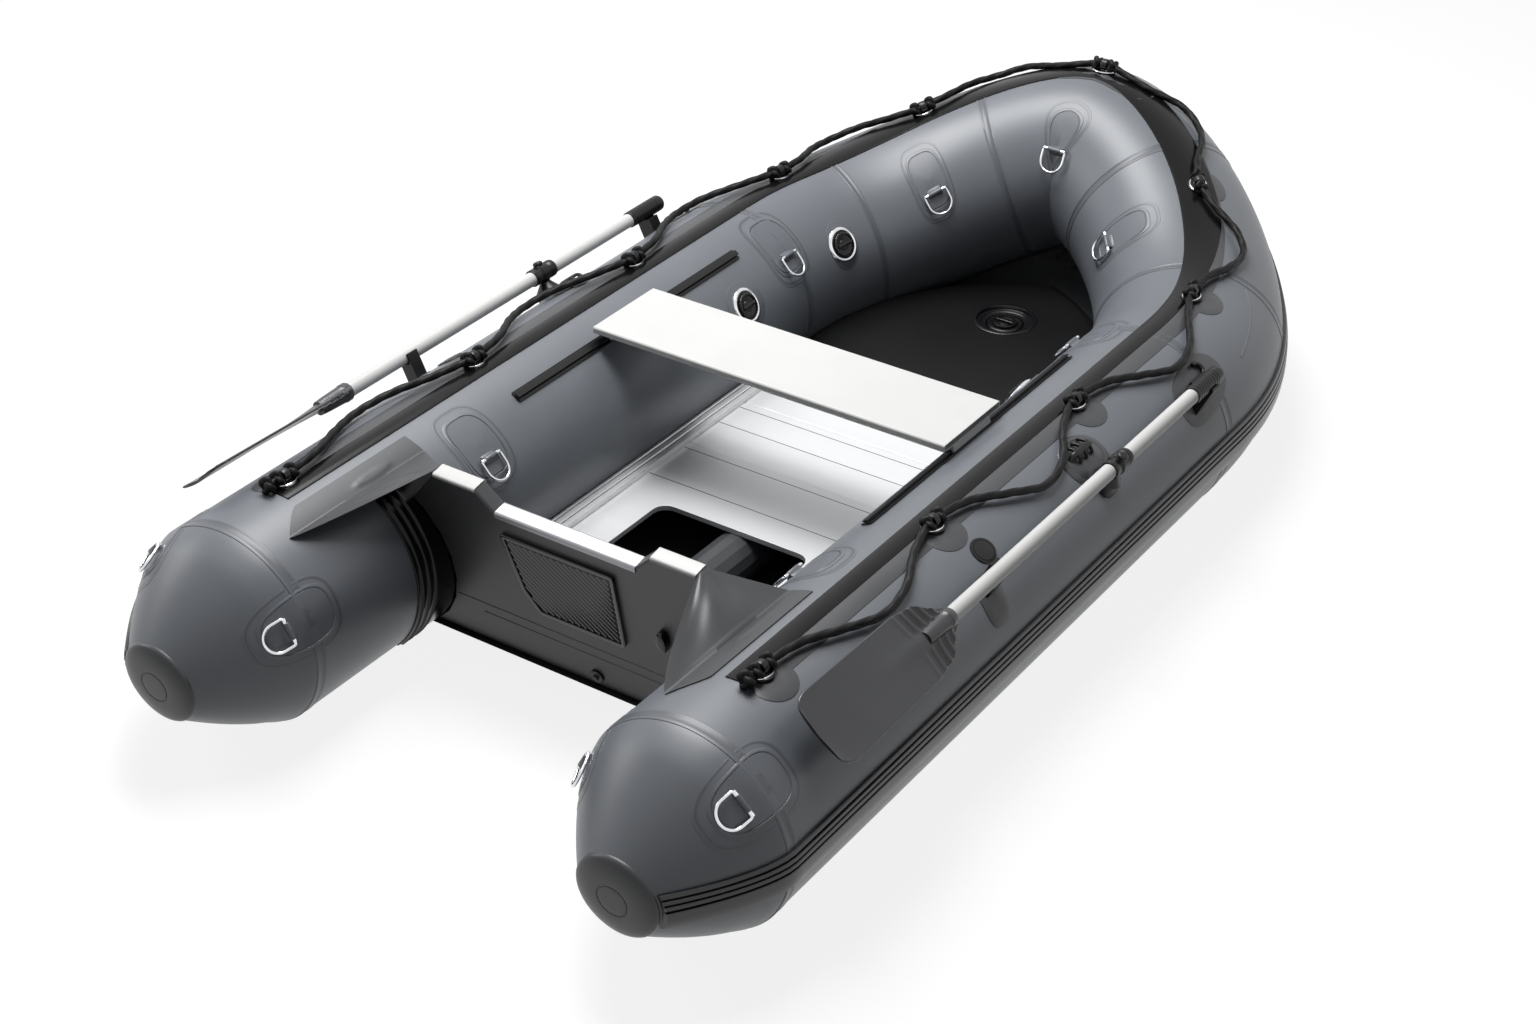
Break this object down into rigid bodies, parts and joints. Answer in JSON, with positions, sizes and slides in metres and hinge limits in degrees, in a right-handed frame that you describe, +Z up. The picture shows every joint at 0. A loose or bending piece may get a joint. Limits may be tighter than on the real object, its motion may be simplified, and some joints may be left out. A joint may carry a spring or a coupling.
{
  "type": "inflatable boat",
  "caption": "Inflatable tender with upturned bow, rigid notched transom, slatted floor, sliding bench, stowed oars and a lifeline.",
  "frame": {"origin": "under the middle of the boat, on the ground that both side tubes rest on", "axes": "+Y towards the bow, +X to starboard, +Z up"},
  "size_m": [1.527, 2.8103, 0.6381],
  "materials": {
    "slate_pvc": "smooth PVC-coated fabric",
    "charcoal_pvc": "PVC-coated fabric",
    "charcoal_board": "plywood covered in charcoal PVC",
    "black_rubber": "matte",
    "black_rope": "laid polyester",
    "bare_aluminium": "brushed, anodised",
    "white_aluminium": "white powder coat",
    "steel": "polished stainless",
    "black_plastic": "moulded"
  },
  "bodies": {
    "hull": {"bottom_skin": "charcoal_pvc", "bow_board": "charcoal_board", "floor_panel_aft": "bare_aluminium", "floor_panel_forward": "bare_aluminium", "floor_panel_middle": "bare_aluminium", "keel_tube": "slate_pvc", "lifeline_band": "black_rubber", "lifeline_rope": "black_rope", "motor_pad_inner": "black_rubber", "motor_pad_outer": "black_rubber", "oar_rest_aft_port": "black_rubber", "oar_rest_aft_starboard": "black_rubber", "oar_rest_fore_port": "black_rubber", "oar_rest_fore_starboard": "black_rubber", "rowlock_port": "black_rubber", "rowlock_starboard": "black_rubber", "rub_rail": "black_rubber", "seat_track_port": "black_rubber", "seat_track_starboard": "black_rubber", "stern_cap_port": "charcoal_pvc", "stern_cap_starboard": "charcoal_pvc", "stringer_port": "bare_aluminium", "stringer_starboard": "bare_aluminium", "transom_board": "charcoal_board", "transom_collar_port": "black_rubber", "transom_collar_starboard": "black_rubber", "transom_fitting": "black_plastic", "transom_flap_port": "charcoal_pvc", "transom_flap_starboard": "charcoal_pvc", "transom_trim": "bare_aluminium", "tube_bow": "slate_pvc", "tube_port": "slate_pvc", "tube_starboard": "slate_pvc", "valve_body_bow": "steel", "valve_body_keel": "steel", "valve_body_port": "steel", "valve_body_starboard": "steel"},
    "seat": {"seat_bench": "white_aluminium"},
    "oar_port": {"oar_shaft_port": "white_aluminium", "oar_blade_port": "black_plastic", "oar_grip_port": "black_rubber"},
    "oar_starboard": {"oar_shaft_starboard": "white_aluminium", "oar_blade_starboard": "black_plastic", "oar_grip_starboard": "black_rubber"},
    "drain": {"drain_plug": "black_rubber"},
    "d_ring_aft_port_body": {"d_ring_aft_port": "steel"},
    "d_ring_middle_port_body": {"d_ring_middle_port": "steel"},
    "d_ring_fore_port_body": {"d_ring_fore_port": "steel"},
    "d_ring_cone_inboard_port_body": {"d_ring_cone_inboard_port": "steel"},
    "d_ring_cone_outboard_port_body": {"d_ring_cone_outboard_port": "steel"},
    "d_ring_aft_starboard_body": {"d_ring_aft_starboard": "steel"},
    "d_ring_middle_starboard_body": {"d_ring_middle_starboard": "steel"},
    "d_ring_fore_starboard_body": {"d_ring_fore_starboard": "steel"},
    "d_ring_cone_inboard_starboard_body": {"d_ring_cone_inboard_starboard": "steel"},
    "d_ring_cone_outboard_starboard_body": {"d_ring_cone_outboard_starboard": "steel"},
    "d_ring_bow_body": {"d_ring_bow": "steel"},
    "valve_cap_bow_body": {"valve_cap_bow": "black_plastic"},
    "valve_cap_keel_body": {"valve_cap_keel": "black_plastic"},
    "valve_cap_port_body": {"valve_cap_port": "black_plastic"},
    "valve_cap_starboard_body": {"valve_cap_starboard": "black_plastic"}
  },
  "joints": [
    {"name": "seat_slide", "type": "slide", "parent": "hull", "child": "seat", "axis": [0, 1, 0], "range_m": [-0.28, 0.3]},
    {"name": "oar_swing_port", "type": "hinge", "parent": "hull", "child": "oar_port", "pos_m": [-0.7057, -0.029, 0.39919], "axis": [0.4384, 0, -0.8988], "range_deg": [0, 90]},
    {"name": "oar_swing_starboard", "type": "hinge", "parent": "hull", "child": "oar_starboard", "pos_m": [0.7057, -0.029, 0.39919], "axis": [0.4384, 0, 0.8988], "range_deg": [0, 90]},
    {"name": "d_ring_aft_port_swing", "type": "hinge", "parent": "hull", "child": "d_ring_aft_port_body", "pos_m": [-0.35801, -0.629, 0.35161], "axis": [0, -1, 0], "range_deg": [0, 150]},
    {"name": "d_ring_middle_port_swing", "type": "hinge", "parent": "hull", "child": "d_ring_middle_port_body", "pos_m": [-0.36062, 0.423, 0.35422], "axis": [0, -1, 0], "range_deg": [0, 150]},
    {"name": "d_ring_fore_port_swing", "type": "hinge", "parent": "hull", "child": "d_ring_fore_port_body", "pos_m": [-0.22419, 0.82757, 0.38487], "axis": [-0.5925, -0.6925, -0.4116], "range_deg": [0, 150]},
    {"name": "d_ring_cone_inboard_port_swing", "type": "hinge", "parent": "hull", "child": "d_ring_cone_inboard_port_body", "pos_m": [-0.3368, -1.23155, 0.29021], "axis": [-0.4958, -0.0368, 0.8677], "range_deg": [0, 150]},
    {"name": "d_ring_cone_outboard_port_swing", "type": "hinge", "parent": "hull", "child": "d_ring_cone_outboard_port_body", "pos_m": [-0.6676, -1.23495, 0.34909], "axis": [-0.7092, 0.0509, -0.7032], "range_deg": [0, 150]},
    {"name": "d_ring_aft_starboard_swing", "type": "hinge", "parent": "hull", "child": "d_ring_aft_starboard_body", "pos_m": [0.35801, -0.629, 0.35161], "axis": [0, 1, 0], "range_deg": [0, 150]},
    {"name": "d_ring_middle_starboard_swing", "type": "hinge", "parent": "hull", "child": "d_ring_middle_starboard_body", "pos_m": [0.36062, 0.423, 0.35422], "axis": [0, 1, 0], "range_deg": [0, 150]},
    {"name": "d_ring_fore_starboard_swing", "type": "hinge", "parent": "hull", "child": "d_ring_fore_starboard_body", "pos_m": [0.22419, 0.82757, 0.38487], "axis": [-0.5925, 0.6925, 0.4116], "range_deg": [0, 150]},
    {"name": "d_ring_cone_inboard_starboard_swing", "type": "hinge", "parent": "hull", "child": "d_ring_cone_inboard_starboard_body", "pos_m": [0.3368, -1.23155, 0.29021], "axis": [-0.4958, 0.0368, -0.8677], "range_deg": [0, 150]},
    {"name": "d_ring_cone_outboard_starboard_swing", "type": "hinge", "parent": "hull", "child": "d_ring_cone_outboard_starboard_body", "pos_m": [0.6676, -1.23495, 0.34909], "axis": [-0.7092, -0.0509, 0.7032], "range_deg": [0, 150]},
    {"name": "d_ring_bow_swing", "type": "hinge", "parent": "hull", "child": "d_ring_bow_body", "pos_m": [0, 0.97871, 0.49364], "axis": [-1, 0, 0], "range_deg": [0, 150]},
    {"name": "valve_cap_bow_turn", "type": "hinge", "parent": "hull", "child": "valve_cap_bow_body", "pos_m": [-0.32872, 0.59749, 0.31581], "axis": [0.8489, -0.1701, 0.5004], "range_deg": [0, 90]},
    {"name": "valve_cap_keel_turn", "type": "hinge", "parent": "hull", "child": "valve_cap_keel_body", "pos_m": [0, 0.786, 0.1257], "axis": [0, 0, 1], "range_deg": [0, 90]},
    {"name": "valve_cap_port_turn", "type": "hinge", "parent": "hull", "child": "valve_cap_port_body", "pos_m": [-0.34113, 0.229, 0.315], "axis": [0.866, 0, 0.5], "range_deg": [0, 90]},
    {"name": "valve_cap_starboard_turn", "type": "hinge", "parent": "hull", "child": "valve_cap_starboard_body", "pos_m": [0.34113, 0.229, 0.315], "axis": [-0.866, 0, 0.5], "range_deg": [0, 90]},
    {"name": "drain_plug_pull", "type": "slide", "parent": "hull", "child": "drain", "axis": [0, -0.9833, -0.1822], "range_m": [0, 0.05]}
  ]
}
